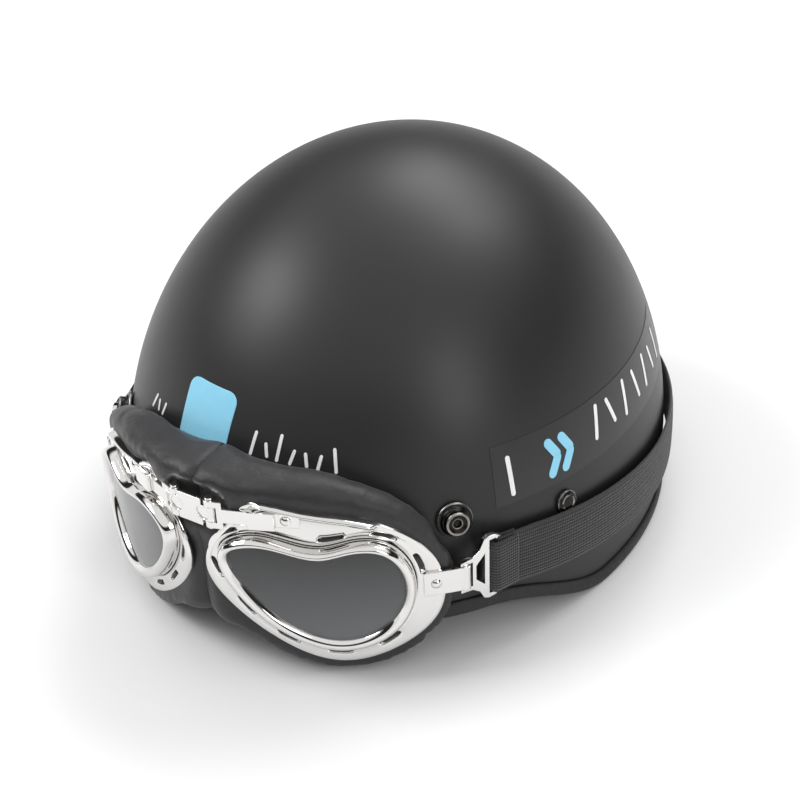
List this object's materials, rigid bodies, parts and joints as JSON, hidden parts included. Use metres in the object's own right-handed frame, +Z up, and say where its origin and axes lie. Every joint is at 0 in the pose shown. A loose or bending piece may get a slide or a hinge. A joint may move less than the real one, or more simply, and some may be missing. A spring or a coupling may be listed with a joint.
{
  "type": "half helmet with goggles",
  "caption": "Open-face half helmet with aviator goggles strapped round it: padded eye cups on a hinged bridge, elastic strap, foam liner and a quick release chin strap.",
  "frame": {"origin": "centre of the whole box, at the bottom, on the surface that the helmet stands on", "axes": "+Z up; the wearer faces -Y; +X is the wearer's left; X is the plane-of-symmetry normal"},
  "size_m": [0.2434, 0.2926, 0.169],
  "materials": {
    "shell_paint": "matte black lacquer over ABS",
    "trim_rubber": "satin rubber edge",
    "impact_foam": null,
    "lining_cloth": "brushed mesh cloth over soft foam",
    "dark_metal": "black plating worn bright at the edges",
    "webbing": "ribbed black webbing",
    "buckle_plastic": "fine grained black moulding",
    "lever_red": "red moulding",
    "steel": "turned steel pin",
    "chrome": "bright chrome plating",
    "smoke_lens": "smoke grey lens",
    "pad_leather": "soft black artificial leather over foam",
    "lacing_thread": "thick black thread",
    "strap_elastic": "ribbed black elastic"
  },
  "bodies": {
    "helmet": {"outer_shell": "shell_paint", "edge_trim": "trim_rubber", "impact_foam": "impact_foam", "head_band": "lining_cloth", "crown_pad": "lining_cloth", "snap_stud_left": "dark_metal", "snap_stud_right": "dark_metal", "strap_rivet_left": "dark_metal", "strap_rivet_right": "dark_metal", "chin_strap_left": "webbing", "chin_strap_right": "webbing", "chin_buckle_housing": "buckle_plastic", "chin_buckle_pin": "steel", "strap_back": "strap_elastic"},
    "goggles": {"bridge_plate": "chrome", "nose_pad": "pad_leather", "bridge_pin_left": "chrome", "bridge_pin_right": "chrome", "strap_side_left": "strap_elastic", "strap_side_right": "strap_elastic"},
    "eye_left": {"eye_frame_left": "chrome", "lens_bezel_left": "chrome", "lens_left": "smoke_lens", "pad_lacing_left": "lacing_thread", "face_pad_left": "pad_leather", "bridge_arm_left": "chrome", "arm_keeper_left": "chrome", "arm_rivet_left": "chrome", "temple_clip_left": "chrome", "temple_rivet_left": "chrome"},
    "eye_right": {"eye_frame_right": "chrome", "lens_bezel_right": "chrome", "lens_right": "smoke_lens", "pad_lacing_right": "lacing_thread", "face_pad_right": "pad_leather", "bridge_arm_right": "chrome", "arm_keeper_right": "chrome", "arm_rivet_right": "chrome", "temple_clip_right": "chrome", "temple_rivet_right": "chrome"},
    "loop_left": {"strap_loop_left": "chrome", "strap_end_left": "strap_elastic"},
    "loop_right": {"strap_loop_right": "chrome", "strap_end_right": "strap_elastic"},
    "strap_slider": {"strap_slider": "buckle_plastic"},
    "chin_tongue": {"chin_buckle_tongue": "buckle_plastic", "chin_strap_ring": "webbing"},
    "chin_lever": {"chin_buckle_lever": "lever_red"},
    "chin_ladder": {"chin_ladder_lock": "buckle_plastic"},
    "chin_pad": {"chin_pad": "lining_cloth"}
  },
  "joints": [
    {"name": "goggles_pull", "type": "slide", "parent": "helmet", "child": "goggles", "axis": [0, -1, 0], "range_m": [0, 0.035], "stiffness_N_per_m": 250, "springref_m": -0.02, "deforming": ["strap_side_left", "strap_side_right"]},
    {"name": "left_eye_hinge", "type": "hinge", "parent": "goggles", "child": "eye_left", "pos_m": [0.0082, -0.141, 0.0781], "axis": [0, 0, -1], "range_deg": [0, 8]},
    {"name": "right_eye_hinge", "type": "hinge", "parent": "goggles", "child": "eye_right", "pos_m": [-0.0082, -0.141, 0.0781], "axis": [0, 0, 1], "range_deg": [0, 8]},
    {"name": "left_loop_hinge", "type": "hinge", "parent": "eye_left", "child": "loop_left", "pos_m": [0.08873, -0.09208, 0.0441], "axis": [0, 0, -1], "range_deg": [0, 25]},
    {"name": "right_loop_hinge", "type": "hinge", "parent": "eye_right", "child": "loop_right", "pos_m": [-0.08873, -0.09208, 0.0441], "axis": [0, 0, 1], "range_deg": [0, 25]},
    {"name": "strap_slider_slide", "type": "hinge", "parent": "helmet", "child": "strap_slider", "pos_m": [0, 0.0368, 0.0272], "axis": [0, 0, 1], "range_deg": [-6, 6]},
    {"name": "chin_tongue_pull", "type": "slide", "parent": "helmet", "child": "chin_tongue", "axis": [-1, 0, 0], "range_m": [0, 0.02], "deforming": ["chin_strap_right"]},
    {"name": "chin_release", "type": "hinge", "parent": "helmet", "child": "chin_lever", "pos_m": [0.031, -0.04349, 0.0076], "axis": [0, 1, 0], "range_deg": [0, 35], "stiffness_Nm_per_rad": 0.02, "springref_deg": -11.46},
    {"name": "chin_ladder_slide", "type": "slide", "parent": "helmet", "child": "chin_ladder", "axis": [1, 0, 0], "range_m": [-0.006, 0.006]},
    {"name": "chin_pad_slide", "type": "slide", "parent": "helmet", "child": "chin_pad", "axis": [-1, 0, 0], "range_m": [-0.005, 0.004]}
  ]
}
